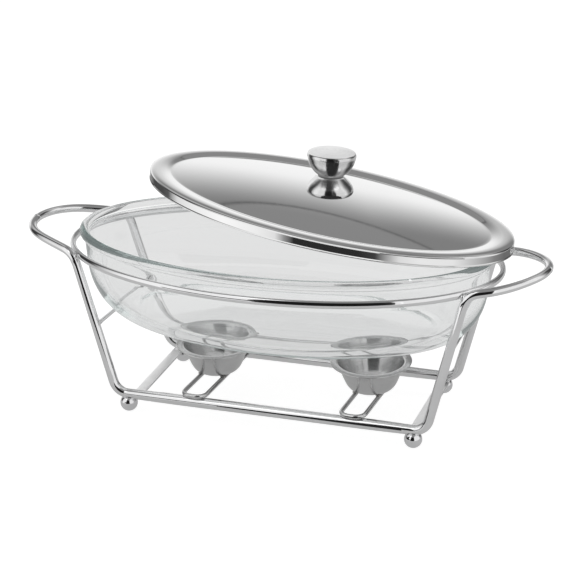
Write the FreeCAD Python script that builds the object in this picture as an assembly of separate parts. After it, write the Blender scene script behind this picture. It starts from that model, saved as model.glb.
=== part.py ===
import FreeCAD, Part
import os, math

# Glass chafing dish: an oval glass dish cradled in a welded wire stand, with a
# loose oval steel lid lying ajar on its rim and two lift-out burner cups.
# Millimetres, +Z up, +X to the right end, -Y to the front.
# Origin: bottom centre, on the surface the four ball feet stand on.

V = FreeCAD.Vector

# ---------------------------------------------------------------- dimensions
# main wire of the stand (one bent rod per side, butt-welded at the handles)
RAIL_Y = 49.0            # half distance between the two bottom rails
RAIL_Z = 14.5            # rail axis above the table
RAIL_R = 4.35            # rod radius in the middle of a rail
BEND_R = 3.85            # rod radius through the bottom bends
LEG_TOP_R = 3.55         # rod radius at the top of a leg
HANDLE_R = 3.2           # rod radius round the handle loops
# the hand-bent stand isn't quite square: its rear left leg stands further in
# where rail and leg axes meet, as +X distances: (left, right)
CORNER_X = {-1: (127.2, 128.2), 1: (120.2, 126.6)}
# where leg and handle axes meet: ((x, y) left, (x, y) right)
TOP_XY = {-1: ((158.5, 44.9), (158.5, 44.9)), 1: ((153.0, 50.0), (158.5, 44.9))}
TOP_X, TOP_Z = 158.5, 129.6
BOTTOM_BEND = 12.5       # bend radius, rail to leg
TOP_BEND = 12.0          # bend radius, leg to handle
HANDLE_RISE = 0.121      # rise of the handle loop per mm outwards
# handle corners outwards from the leg as (x, distance from the long axis) and
# the bend radii before the last one; the loops are hand bent, so all four differ
HANDLE = {(-1, 0): ([(212.7, 19.75)], []), (1, 0): ([(212.7, 33.7)], []),
          (-1, 1): ([(185.2, 40.3), (210.4, 7.5)], [42.0]),
          (1, 1): ([(184.0, 40.5), (210.4, 16.2)], [40.0])}
WELD_Y = (2.0, 1.5)      # where the two halves meet, left and right handle

# oval ring that steadies the dish
RING_A, RING_B, RING_Z = 174.0, 93.4, 128.2  # axis of the ring
RING_HALF_W, RING_HALF_H = 2.15, 3.05        # flattened rod section

# rods and straps of the stand
ROD_R = 1.6
ROD_Z = (71.2, 73.0)         # left, right: the dish lies on both
STRAP_X, STRAP_W, STRAP_T, STRAP_TOP = (112.6, 117.8), 8.8, 1.6, 11.6
FOOT_R = 7.0
FOOT_X = {-1: (117.2, 118.4), 1: (109.8, 116.6)}
FOOT_FLAT_R = 1.6        # small worn flat under each ball

# glass dish
DISH_A, DISH_B = 168.0, 88.0                 # outside of the rim bead
DISH_TOP = 142.9
BEAD_Z = 138.8
DISH_WALL = 4.6
DISH_BASE_A, DISH_BASE_B, DISH_BASE_Z = 127.5, 63.0, 70.8
DISH_TURN_Z = 118.5      # height where the wall starts to round in
DISH_FLOOR = 5.2

# lid
LID_A, LID_B = 170.3, 90.3                   # outside of the skirt
SHEET = 0.8
DOME_Z = 14.4            # dome centre above the skirt edge
SIDE_K = 0.82            # the shoulder is this much narrower along the sides
LID_POS = (16.0, 56.5, 145.1)                # skirt-edge centre, lid ajar
LID_YAW, LID_TILT, LID_ROLL = -20.2, 1.5, -5.0

# knob
KNOB_X = 4.5                                 # the knob stands a little right of the lid's centre
KNOB_BASE_R, KNOB_NECK_R, KNOB_TOP_R = 18.7, 9.0, 19.45
KNOB_WIDE_Z, KNOB_NECK_Z, KNOB_EDGE_Z, KNOB_TOP_Z = 3.8, 15.6, 33.6, 37.2
SCREW_R, SCREW_HEAD_R, SCREW_HEAD_H = 2.45, 4.6, 2.8
WASHER_R, WASHER_T = 6.0, 1.0

# burner cups and their wires
CUP_X, CUP_Y = (-58.2, 71.6), -3.2   # cup axes, left and right burner
BURNER_YAW = (-3.4, -2.4)            # each burner lies slightly askew
CUP_FLOOR_Z = 22.75      # underside of a cup
CUP_DEPTH = 24.0
CUP_RIM_R, CUP_MOUTH_R = 32.1, 26.9
CUP_SHEET = 0.8
BWIRE_R = 1.8
BWIRE_HALF = 9.6         # half spacing of the two runs
BWIRE_Z = 20.93          # axis; the wire lies over both rails
BWIRE_FRONT, BWIRE_REAR = -49.0, 57.6   # closed and open ends, from the cup axis
BWIRE_BEND = 7.6

os.makedirs("parts", exist_ok=True)


# ------------------------------------------------------------------ helpers
def unit(v):
    w = V(v)
    w.normalize()
    return w


def cone_between(p0, p1, r0, r1):
    """Straight length of rod, plain or slightly tapered."""
    d = p1 - p0
    if abs(r0 - r1) < 1e-6:
        return Part.makeCylinder(r0, d.Length, p0, d)
    return Part.makeCone(r0, r1, d.Length, p0, d)


def bend(p0, mid, p1, r, d0):
    """Round rod swept round one arc that starts at p0 along d0."""
    arc = Part.Arc(p0, mid, p1).toShape()
    prof = Part.Wire([Part.makeCircle(r, p0, d0)])
    return Part.Wire([arc]).makePipeShell([prof], True, True)


def rod_path(points, bends, radii):
    """Rod along a polyline whose inner corners are rounded.
    radii gives (start, end) radius for each straight run."""
    n = len(points)
    cuts = []
    for i in range(1, n - 1):
        d1, d2 = unit(points[i] - points[i - 1]), unit(points[i + 1] - points[i])
        turn = d1.getAngle(d2)
        t = bends[i - 1] * math.tan(turn / 2)
        b = unit(d2 - d1)
        c = points[i] + b * (bends[i - 1] / math.cos(turn / 2))
        cuts.append((points[i] - d1 * t, c - b * bends[i - 1], points[i] + d2 * t, d1))
    solids = []
    start = points[0]
    for i in range(n - 1):
        end = cuts[i][0] if i < n - 2 else points[-1]
        if (end - start).Length > 0.02:
            solids.append(cone_between(start, end, *radii[i]))
        if i < n - 2:
            p0, mid, p1, d1 = cuts[i]
            solids.append(bend(p0, mid, p1, radii[i][1], d1))
            start = p1
    s = solids[0].fuse(solids[1:])
    return s.removeSplitter()


def oval(a, b, z):
    """Closed oval edge; the long axis lies along X."""
    e = Part.Ellipse(V(a, 0, z), V(0, b, z), V(0, 0, z))
    return e.toShape()


def oval_solid(sections):
    """Closed skin through a run of ovals (a, b, z), flat at both ends."""
    edges = [oval(*s) for s in sections]
    faces = [Part.Face(Part.Wire([edges[0]]))]
    for e0, e1 in zip(edges, edges[1:]):
        faces.append(Part.makeRuledSurface(e0, e1))
    faces.append(Part.Face(Part.Wire([edges[-1]])))
    shell = Part.makeShell(faces)
    shell.sewShape()
    solid = Part.makeSolid(shell)
    if solid.Volume < 0:
        solid.reverse()
    return solid


def revolve(pts, closed=True):
    """Revolve an (r, z) outline about the Z axis."""
    w = Part.makePolygon([V(r, 0, z) for r, z in pts + [pts[0]]])
    return Part.Face(w).revolve(V(0, 0, 0), V(0, 0, 1), 360)


def arc_pts(cx, cz, r, a0, a1, n):
    return [(cx + r * math.cos(math.radians(a0 + (a1 - a0) * i / n)),
             cz + r * math.sin(math.radians(a0 + (a1 - a0) * i / n))) for i in range(n + 1)]


def save(shape, name):
    solids = shape.Solids
    if len(solids) == 1:
        shape = solids[0]
    shape.exportStep("parts/%s.step" % name)
    bb = shape.BoundBox
    print("%-20s solids %d valid %s vol %9.1f  x %.2f %.2f  y %.2f %.2f  z %.2f %.2f" % (
        name, len(solids), shape.isValid(), shape.Volume,
        bb.XMin, bb.XMax, bb.YMin, bb.YMax, bb.ZMin, bb.ZMax))
    return shape


# -------------------------------------------------------------------- stand
def hz(x):
    return TOP_Z + (x - TOP_X) * HANDLE_RISE


def arm(s, side):
    """Leg and half handle, as on the +X side. s = -1 front, 1 rear."""
    corner, top = CORNER_X[s][side], TOP_XY[s][side]
    pts, inner = HANDLE[(s, side)]
    right = [V(corner, s * RAIL_Y, RAIL_Z), V(top[0], s * top[1], TOP_Z)]
    right += [V(x, s * y, hz(x)) for x, y in pts]
    right.append(V(pts[-1][0], WELD_Y[side], hz(pts[-1][0])))
    # the outermost bend ends exactly at the weld
    d1 = unit(right[-2] - right[-3])
    d2 = unit(right[-1] - right[-2])
    r_out = abs(right[-2].y - WELD_Y[side]) / math.tan(d1.getAngle(d2) / 2)
    bends = [BOTTOM_BEND, TOP_BEND] + inner + [r_out]
    radii = [(RAIL_R, BEND_R), (BEND_R, LEG_TOP_R), (LEG_TOP_R, HANDLE_R)] + [(HANDLE_R, HANDLE_R)] * len(pts)
    start = V(corner - 45, s * RAIL_Y, RAIL_Z)
    return rod_path([start] + right, bends, radii)


def half_frame(s):
    """One bent rod: half handle, leg, rail, leg, half handle. s = -1 front."""
    cl, cr = CORNER_X[s]
    left = arm(s, 0).mirror(V(0, 0, 0), V(1, 0, 0))
    rail = Part.makeCylinder(RAIL_R, cl + cr - 90, V(45 - cl, s * RAIL_Y, RAIL_Z), V(1, 0, 0))
    return rail.fuse([left, arm(s, 1)]).removeSplitter()


def ring():
    """Flattened rod bent to an oval, welded to the inside of the four legs."""
    n = 20
    prev = None
    faces = []
    rows = []
    for i in range(n):
        t = 2 * math.pi * i / n
        rows.append(oval(RING_A + RING_HALF_W * math.cos(t), RING_B + RING_HALF_W * math.cos(t),
                         RING_Z + RING_HALF_H * math.sin(t)))
    for i in range(n):
        faces.append(Part.makeRuledSurface(rows[i], rows[(i + 1) % n]))
    shell = Part.makeShell(faces)
    shell.sewShape()
    solid = Part.makeSolid(shell)
    if solid.Volume < 0:
        solid.reverse()
    return solid


def foot(x, y):
    ball = Part.makeSphere(FOOT_R, V(x, y, 0))
    drop = math.sqrt(FOOT_R ** 2 - FOOT_FLAT_R ** 2)
    ball.translate(V(0, 0, drop))
    return ball.common(Part.makeBox(20, 20, 40, V(x - 10, y - 10, 0)))


def strap(x):
    return Part.makeBox(STRAP_W, 2 * RAIL_Y, STRAP_T, V(x - STRAP_W / 2, -RAIL_Y, STRAP_TOP - STRAP_T))


def cross_rod(side):
    """Rod between the two legs of one end, axis to axis. side 0 left, 1 right."""
    z = ROD_Z[side]
    f = (z - RAIL_Z) / (TOP_Z - RAIL_Z)
    ends = []
    for s in (-1, 1):
        c, (tx, ty) = CORNER_X[s][side], TOP_XY[s][side]
        x = c + (tx - c) * f - 1.2
        ends.append(V(x if side else -x, s * (RAIL_Y + (ty - RAIL_Y) * f), z))
    return Part.makeCylinder(ROD_R, (ends[1] - ends[0]).Length, ends[0], ends[1] - ends[0])


def main_piece(shape):
    """Drop the slivers that a cut leaves behind a neighbour."""
    return max(shape.Solids, key=lambda q: q.Volume)


# --------------------------------------------------------------------- dish
def dish():
    neck = 3.6                           # wall inset just under the bead
    turn_in = 4.6                        # wall inset where the bottom turn starts
    secs = []
    n = 14
    ax, bx = DISH_A - turn_in, DISH_B - turn_in
    for i in range(n + 1):
        u = math.radians(90 - 90 * i / n)
        f = math.cos(u)
        secs.append((DISH_BASE_A + (ax - DISH_BASE_A) * f, DISH_BASE_B + (bx - DISH_BASE_B) * f,
                     DISH_TURN_Z - (DISH_TURN_Z - DISH_BASE_Z) * math.sin(u)))
    secs.append((DISH_A - neck, DISH_B - neck, BEAD_Z - 4.6))
    # bead: outside fillet, round nose, top, inside fillet
    for o, z in ((3.1, -3.9), (2.2, -3.4), (1.1, -2.6), (0.35, -1.4), (0.0, 0.0), (0.2, 1.4),
                 (0.9, 2.7), (1.9, 3.6), (3.1, 4.1), (4.4, 4.1), (5.5, 3.6), (6.4, 2.6),
                 (6.9, 1.2), (7.2, -0.8)):
        secs.append((DISH_A - o, DISH_B - o, BEAD_Z + z))
    # inside wall and rounded inside bottom
    ia, ib = DISH_A - turn_in - DISH_WALL, DISH_B - turn_in - DISH_WALL
    ba, bb = DISH_BASE_A - 3.5, DISH_BASE_B - 3.5
    secs.append((DISH_A - 8.1, DISH_B - 8.1, BEAD_Z - 6.0))
    floor_z = DISH_BASE_Z + DISH_FLOOR
    for i in range(n + 1):
        u = math.radians(90 * i / n)
        f = math.cos(u)
        secs.append((ba + (ia - ba) * f, bb + (ib - bb) * f,
                     DISH_TURN_Z - (DISH_TURN_Z - floor_z) * math.sin(u)))
    return oval_solid(secs)


# ---------------------------------------------------------------------- lid
# outer line of the lid from the skirt edge inwards: (inset at the ends, height)
LID_LINE = [(0.35, 0.0), (-0.15, 0.45), (-0.2, 1.0), (0.1, 1.5), (0.25, 1.8), (0.25, 7.0),
            (0.45, 7.75), (1.0, 8.3), (1.9, 8.7), (3.2, 9.0), (5.0, 9.17), (7.2, 9.2), (9.6, 9.12),
            (12.0, 8.9), (14.2, 8.58), (16.2, 8.18), (17.8, 7.82), (18.9, 7.6)]
LID_STEP = (19.8, 7.55)                  # the low crease round the dome


def side_inset(o):
    """Inset along the sides for a given inset at the ends."""
    return o if o < 1 else 1 + (o - 1) * SIDE_K


def lid():
    a, b = LID_A, LID_B
    outer = [(a - o, b - side_inset(o), z) for o, z in LID_LINE + [LID_STEP]]
    da, db, dz = outer[-1]
    # the same line one sheet thickness inside
    pts = LID_LINE + [LID_STEP, (LID_STEP[0] + 3.0, LID_STEP[1] + 0.35)]
    inner = []
    for i in range(len(pts) - 1):
        p0 = pts[max(i - 1, 0)]
        p1 = pts[min(i + 1, len(pts) - 1)]
        tx, tz = p1[0] - p0[0], p1[1] - p0[1]
        ln = math.hypot(tx, tz)
        nx, nz = tz / ln, -tx / ln          # towards the inside of the lid
        inner.append((pts[i][0] + nx * SHEET, pts[i][1] + nz * SHEET))
    inner[0] = (pts[0][0] + SHEET, 0.0)
    inner_secs = [(a - o, b - side_inset(o), z) for o, z in inner]
    dome = []
    for s in (0.93, 0.84, 0.74, 0.63, 0.51, 0.39, 0.27, 0.16, 0.09):
        dome.append((s, LID_STEP[1] + (DOME_Z - LID_STEP[1]) * (1 - s * s)))
    top = [(da * s, db * s, z) for s, z in dome]
    ia, ib, iz = inner_secs[-1]
    under = [(ia * s, ib * s, z - SHEET) for s, z in dome]
    secs = list(reversed(top)) + list(reversed(outer)) + inner_secs + under
    body = oval_solid(secs)
    hole = Part.makeCylinder(SCREW_R + 0.35, 30, V(KNOB_X, 0, 0), V(0, 0, 1))
    return body.cut(hole)


def dome_top():
    return LID_STEP[1] + (DOME_Z - LID_STEP[1]) * (1 - 0.09 ** 2)


def knob_base():
    """Bell-shaped lower half of the knob, bored for the screw."""
    z = dome_top()
    w = KNOB_BASE_R
    line = [(SCREW_R + 0.3, 0.0), (14.0, 0.0), (16.5, 0.5), (18.0, 1.6), (w - 0.1, 2.8), (w, KNOB_WIDE_Z),
            (w - 0.3, 5.1), (17.6, 7.0), (16.3, 9.0), (14.6, 11.0), (12.6, 13.0), (10.8, 14.5),
            (KNOB_NECK_R + 0.4, KNOB_NECK_Z - 0.4), (KNOB_NECK_R - 0.5, KNOB_NECK_Z), (SCREW_R + 0.3, KNOB_NECK_Z)]
    s = revolve([(r, z + h) for r, h in line])
    return s


def knob_cap():
    """Bowl-shaped upper half with a low domed top; blind bore for the screw."""
    z = dome_top()
    n, e = KNOB_NECK_Z, KNOB_EDGE_Z
    line = [(SCREW_R + 0.05, n), (KNOB_NECK_R - 0.5, n), (KNOB_NECK_R + 0.5, n + 0.4), (11.3, n + 1.4),
            (13.1, n + 2.8), (14.8, n + 4.6), (16.6, n + 7.2), (18.0, n + 10.1), (18.9, n + 13.2),
            (KNOB_TOP_R, n + 15.9), (KNOB_TOP_R - 0.1, e - 0.7), (KNOB_TOP_R - 0.35, e + 0.2), (KNOB_TOP_R - 1.0, e + 0.8),
            (17.0, e + 1.3), (13.5, e + 2.15), (9.5, e + 2.85), (5.0, e + 3.4), (0.0, KNOB_TOP_Z), (0.0, n + 12.0),
            (SCREW_R + 0.05, n + 12.0)]
    return revolve([(r, z + h) for r, h in line])


def washer():
    z = dome_top() - SHEET - WASHER_T
    return Part.makeCylinder(WASHER_R, WASHER_T, V(0, 0, z)).cut(
        Part.makeCylinder(SCREW_R + 0.2, WASHER_T + 2, V(0, 0, z - 1)))


def knob_screw():
    """Pan head under the lid, shank up through the base into the cap."""
    z = dome_top() - SHEET - WASHER_T
    top = dome_top() + KNOB_NECK_Z + 10.5
    line = [(0, z - SCREW_HEAD_H), (2.4, z - SCREW_HEAD_H), (3.8, z - SCREW_HEAD_H + 0.5),
            (SCREW_HEAD_R, z - SCREW_HEAD_H + 1.5), (SCREW_HEAD_R, z), (SCREW_R, z),
            (SCREW_R, top - 0.6), (SCREW_R - 0.6, top), (0, top)]
    s = revolve(line)
    slot = Part.makeBox(1.1, 12, 1.2, V(-0.55, -6, z - SCREW_HEAD_H))
    return s.cut(slot)


def ajar(shape, x=0.0):
    rot = FreeCAD.Rotation(V(0, 0, 1), LID_YAW).multiply(
        FreeCAD.Rotation(V(0, 1, 0), LID_TILT)).multiply(FreeCAD.Rotation(V(1, 0, 0), LID_ROLL))
    s = shape.copy()
    s.translate(V(x, 0, 0))
    s.Placement = FreeCAD.Placement(V(*LID_POS), rot).multiply(s.Placement)
    return s


# ------------------------------------------------------------------ burners
def placed(shape, side):
    """Set a burner piece down on the rails. side 0 left, 1 right."""
    s = shape.copy()
    s.rotate(V(0, 0, 0), V(0, 0, 1), BURNER_YAW[side])
    s.translate(V(CUP_X[side], CUP_Y, 0))
    return s


def cup():
    """Spun cup: rolled flat rim, sloping wall, rounded foot, flat floor."""
    t = CUP_SHEET
    d = CUP_DEPTH
    outer = [(0.0, 0.0), (12.2, 0.0), (14.4, 0.35), (16.4, 1.3), (18.2, 2.9), (19.7, 5.0), (21.0, 7.6),
             (22.6, 11.6), (24.2, 15.8), (25.6, 19.6), (26.3, 21.6), (27.1, 22.7), (28.6, 23.1),
             (31.3, 23.0), (CUP_RIM_R, 23.2), (CUP_RIM_R, 23.6), (31.4, d - 0.1), (28.8, d + 0.1)]
    inner = [(26.9, d - 0.25), (25.9, d - 1.1), (25.3, d - 2.6), (24.75, 19.8), (23.4, 16.1), (21.8, 11.9),
             (20.2, 8.0), (19.0, 5.5), (17.6, 3.5), (16.0, 2.05), (14.2, 1.15), (12.2, t), (0.0, t)]
    s = revolve(outer + inner)
    s.translate(V(0, 0, CUP_FLOOR_Z))
    return s


def burner_wire():
    """Wire bent to a long U: its closed end is the pull over the front rail."""
    h, r = BWIRE_HALF, BWIRE_R
    pts = [V(-h, BWIRE_REAR, BWIRE_Z), V(-h, BWIRE_FRONT, BWIRE_Z),
           V(h, BWIRE_FRONT, BWIRE_Z), V(h, BWIRE_REAR, BWIRE_Z)]
    return rod_path(pts, [BWIRE_BEND, BWIRE_BEND], [(r, r)] * 3)


# -------------------------------------------------------------------- build
def build():
    parts = {}
    front, rear = half_frame(-1), half_frame(1)
    parts["front_frame_wire"] = front
    parts["rear_frame_wire"] = rear
    parts["support_ring"] = ring().cut(front).cut(rear)
    feet = {}
    for end, s in (("front", -1), ("rear", 1)):
        feet[end + "_left_foot"] = foot(-FOOT_X[s][0], s * RAIL_Y)
        feet[end + "_right_foot"] = foot(FOOT_X[s][1], s * RAIL_Y)
    for k, f in feet.items():
        feet[k] = f.cut(front if "front" in k else rear)
    for k, sx in (("left", -1), ("right", 1)):
        parts[k + "_cross_rod"] = main_piece(cross_rod(int(sx > 0)).cut(front).cut(rear))
        st = strap(sx * STRAP_X[sx > 0]).cut(front).cut(rear)
        for f in feet.values():
            st = st.cut(f)
        parts[k + "_base_strap"] = main_piece(st)
    parts.update(feet)
    parts["glass_dish"] = dish()
    parts["lid_shell"] = ajar(lid())
    parts["knob_base"] = ajar(knob_base(), KNOB_X)
    parts["knob_cap"] = ajar(knob_cap(), KNOB_X)
    parts["knob_washer"] = ajar(washer(), KNOB_X)
    parts["knob_screw"] = ajar(knob_screw(), KNOB_X)
    for side, k in enumerate(("left", "right")):
        parts[k + "_burner_cup"] = placed(cup(), side)
        parts[k + "_burner_wire"] = placed(burner_wire(), side)
    return parts


if __name__ == "__main__":
    for name, shape in build().items():
        save(shape, name)
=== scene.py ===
import math
import bpy
import numpy as np
from mathutils import Matrix, Vector


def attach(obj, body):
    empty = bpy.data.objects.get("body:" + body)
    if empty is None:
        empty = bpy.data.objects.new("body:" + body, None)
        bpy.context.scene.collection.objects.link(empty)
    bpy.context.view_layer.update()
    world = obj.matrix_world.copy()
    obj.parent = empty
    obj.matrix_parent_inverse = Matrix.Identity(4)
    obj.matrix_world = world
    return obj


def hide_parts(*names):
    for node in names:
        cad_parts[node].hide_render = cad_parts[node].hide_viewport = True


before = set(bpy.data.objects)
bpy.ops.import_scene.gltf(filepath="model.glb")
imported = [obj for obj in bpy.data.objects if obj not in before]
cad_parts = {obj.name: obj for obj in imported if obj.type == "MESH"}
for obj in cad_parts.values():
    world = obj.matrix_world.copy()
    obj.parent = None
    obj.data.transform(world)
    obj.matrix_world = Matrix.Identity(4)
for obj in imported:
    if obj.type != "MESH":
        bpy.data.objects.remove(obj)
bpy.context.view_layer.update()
MM = 0.001

# ------------------------------------------------------------ dimensions, mm
RAIL_Y, RAIL_Z = 49.0, 14.5
RAIL_R, BEND_R, LEG_TOP_R, HANDLE_R = 4.35, 3.85, 3.55, 3.2
CORNER_X = {-1: (127.2, 128.2), 1: (120.2, 126.6)}
TOP_XY = {-1: ((158.5, 44.9), (158.5, 44.9)), 1: ((153.0, 50.0), (158.5, 44.9))}
TOP_X, TOP_Z = 158.5, 129.6
BOTTOM_BEND, TOP_BEND = 12.5, 12.0
HANDLE_RISE, WELD_Y = 0.121, (2.0, 1.5)
HANDLE = {(-1, 0): ([(212.7, 19.75)], []), (1, 0): ([(212.7, 33.7)], []),
          (-1, 1): ([(185.2, 40.3), (210.4, 7.5)], [42.0]), (1, 1): ([(184.0, 40.5), (210.4, 16.2)], [40.0])}
RING_A, RING_B, RING_Z, RING_HW, RING_HH = 174.0, 93.4, 128.2, 2.15, 3.05
ROD_R, ROD_Z = 1.6, (71.2, 73.0)
STRAP_X, STRAP_W, STRAP_T, STRAP_TOP = (112.6, 117.8), 8.8, 1.6, 11.6
FOOT_R = 7.0
FOOT_X = {-1: (117.2, 118.4), 1: (109.8, 116.6)}
DISH_A, DISH_B, BEAD_Z = 168.0, 88.0, 138.8
DISH_WALL, DISH_TURN_Z, DISH_FLOOR = 4.6, 118.5, 5.2
DISH_BASE_A, DISH_BASE_B, DISH_BASE_Z = 127.5, 63.0, 70.8
LID_A, LID_B, SHEET, DOME_Z, SIDE_K = 170.3, 90.3, 0.8, 14.4, 0.82
LID_POS, LID_YAW, LID_TILT, LID_ROLL = (16.0, 56.5, 145.1), -20.2, 1.5, -5.0
KNOB_X = 4.5
KNOB_BASE_R, KNOB_NECK_R, KNOB_TOP_R = 18.7, 9.0, 19.45
KNOB_WIDE_Z, KNOB_NECK_Z, KNOB_EDGE_Z, KNOB_TOP_Z = 3.8, 15.6, 33.6, 37.2
CUP_X, CUP_Y, CUP_FLOOR_Z, CUP_DEPTH, CUP_SHEET = (-58.2, 71.6), -3.2, 22.75, 24.0, 0.8
BURNER_YAW = (-3.4, -2.4)
BWIRE_R, BWIRE_HALF, BWIRE_Z, BWIRE_FRONT, BWIRE_REAR, BWIRE_BEND = 1.8, 9.6, 20.93, -49.0, 57.6, 7.6


# ------------------------------------------------------------------- camera
cam = bpy.data.cameras.new("camera")
cam.sensor_width = 36.0
cam.lens = 123.01
cam.clip_start, cam.clip_end = 0.05, 60.0
cam_obj = bpy.data.objects.new("camera", cam)
bpy.context.scene.collection.objects.link(cam_obj)
RIGHT = Vector((0.94514, 0.32532, -0.02953))
UP = Vector((-0.10223, 0.38044, 0.91914))
BACK = Vector((0.31025, -0.8657, 0.39282))
EYE = Vector((0.48726, -1.34588, 0.70826))
cam_obj.matrix_world = Matrix(((RIGHT.x, UP.x, BACK.x, EYE.x), (RIGHT.y, UP.y, BACK.y, EYE.y),
                               (RIGHT.z, UP.z, BACK.z, EYE.z), (0, 0, 0, 1)))
bpy.context.scene.camera = cam_obj


# ------------------------------------------------------------ mesh helpers
PIECES = []


def make(name, verts, faces, body, replaces=(), mat=None, sharp=None, place=None):
    """Mesh from millimetre vertices, smooth shaded, riding on a body."""
    co = np.asarray(verts, float)
    if place is not None:
        co = co @ place[0].T + place[1]
    me = bpy.data.meshes.new(name)
    me.from_pydata((co * MM).tolist(), [], faces)
    me.validate()
    me.shade_smooth()
    if sharp is not None:
        me.set_sharp_from_angle(angle=math.radians(sharp))
    ob = bpy.data.objects.new(name, me)
    bpy.context.scene.collection.objects.link(ob)
    if mat is not None:
        me.materials.append(mat)
    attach(ob, body)
    if replaces:
        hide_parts(*replaces)
    PIECES.append((ob, body))
    return ob


def spline(pts, k=6, corners=(), closed=False):
    """Centripetal Catmull-Rom through points of any dimension; corners stay sharp."""
    P = [np.asarray(p, float) for p in pts]
    n = len(P)
    out = []
    segs = n if closed else n - 1
    for i in range(segs):
        p1, p2 = P[i % n], P[(i + 1) % n]
        p0 = P[i - 1] if (i > 0 or closed) and i not in corners else 2 * p1 - p2
        j = (i + 1) % n
        p3 = P[(i + 2) % n] if (i + 2 < n or closed) and j not in corners else 2 * p2 - p1
        d = [max(np.linalg.norm(b - a), 1e-9) ** 0.5 for a, b in ((p0, p1), (p1, p2), (p2, p3))]
        t0, t1 = 0.0, d[0]
        t2, t3 = t1 + d[1], t1 + d[1] + d[2]
        for s in range(k):
            t = t1 + (t2 - t1) * s / k
            a1 = (t1 - t) / (t1 - t0) * p0 + (t - t0) / (t1 - t0) * p1
            a2 = (t2 - t) / (t2 - t1) * p1 + (t - t1) / (t2 - t1) * p2
            a3 = (t3 - t) / (t3 - t2) * p2 + (t - t2) / (t3 - t2) * p3
            b1 = (t2 - t) / (t2 - t0) * a1 + (t - t0) / (t2 - t0) * a2
            b2 = (t3 - t) / (t3 - t1) * a2 + (t - t1) / (t3 - t1) * a3
            out.append((t2 - t) / (t2 - t1) * b1 + (t - t1) / (t2 - t1) * b2)
    if not closed:
        out.append(P[-1])
    return out


def ring_faces(rows, n, loop=False):
    f = []
    m = rows if loop else rows - 1
    for i in range(m):
        a, b = i * n, ((i + 1) % rows) * n
        for j in range(n):
            k = (j + 1) % n
            f.append((a + j, a + k, b + k, b + j))
    return f


def oval_loft(secs, n=288, cap_start=True, cap_end=True, loop=False):
    """Skin through ovals (a, b, z); the ends close to a point at their middle."""
    t = np.linspace(0, 2 * np.pi, n, endpoint=False)
    c, s = np.cos(t), np.sin(t)
    rows = [np.stack([a * c, b * s, np.full(n, z)], 1) for a, b, z in secs]
    v = list(np.concatenate(rows))
    f = ring_faces(len(rows), n, loop)
    if not loop and cap_start:
        v.append(np.array([0, 0, secs[0][2]]))
        i = len(v) - 1
        f += [(i, (j + 1) % n, j) for j in range(n)]
    if not loop and cap_end:
        v.append(np.array([0, 0, secs[-1][2]]))
        i = len(v) - 1
        o = (len(rows) - 1) * n
        f += [(i, o + j, o + (j + 1) % n) for j in range(n)]
    return v, f


def lathe(pts, n=96, loop=False):
    """Revolve (r, z); points on the axis become poles."""
    t = np.linspace(0, 2 * np.pi, n, endpoint=False)
    c, s = np.cos(t), np.sin(t)
    pole0, pole1 = (not loop and pts[0][0] < 1e-6), (not loop and pts[-1][0] < 1e-6)
    body = pts[1 if pole0 else 0:len(pts) - 1 if pole1 else len(pts)]
    v = [np.array([r * cc, r * ss, z]) for r, z in body for cc, ss in zip(c, s)]
    f = ring_faces(len(body), n, loop)
    if pole0:
        v.append(np.array([0, 0, pts[0][1]]))
        i = len(v) - 1
        f += [(i, (j + 1) % n, j) for j in range(n)]
    if pole1:
        v.append(np.array([0, 0, pts[-1][1]]))
        i = len(v) - 1
        o = (len(body) - 1) * n
        f += [(i, o + j, o + (j + 1) % n) for j in range(n)]
    return v, f


def unit(v):
    return v / np.linalg.norm(v)


def fillet_path(points, bends, steps=14, run=6.0):
    """Polyline with rounded corners, sampled finely. Returns the points."""
    P = [np.asarray(p, float) for p in points]
    out = [P[0]]

    def straight(a, b):
        d = np.linalg.norm(b - a)
        k = max(1, int(d / run))
        for i in range(1, k + 1):
            out.append(a + (b - a) * i / k)
    for i in range(1, len(P) - 1):
        d1, d2 = unit(P[i] - P[i - 1]), unit(P[i + 1] - P[i])
        turn = math.acos(max(-1.0, min(1.0, float(d1 @ d2))))
        t = bends[i - 1] * math.tan(turn / 2)
        b = unit(d2 - d1)
        c = P[i] + b * (bends[i - 1] / math.cos(turn / 2))
        p0 = P[i] - d1 * t
        if np.linalg.norm(p0 - out[-1]) > 1e-3:
            straight(out[-1], p0)
        e1 = unit(p0 - c)
        e2 = d1
        k = max(6, int(steps * turn / 1.2))
        for q in range(1, k + 1):
            a = turn * q / k
            out.append(c + bends[i - 1] * (e1 * math.cos(a) + e2 * math.sin(a)))
    if np.linalg.norm(P[-1] - out[-1]) > 1e-3:
        straight(out[-1], P[-1])
    return np.array(out)


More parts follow.
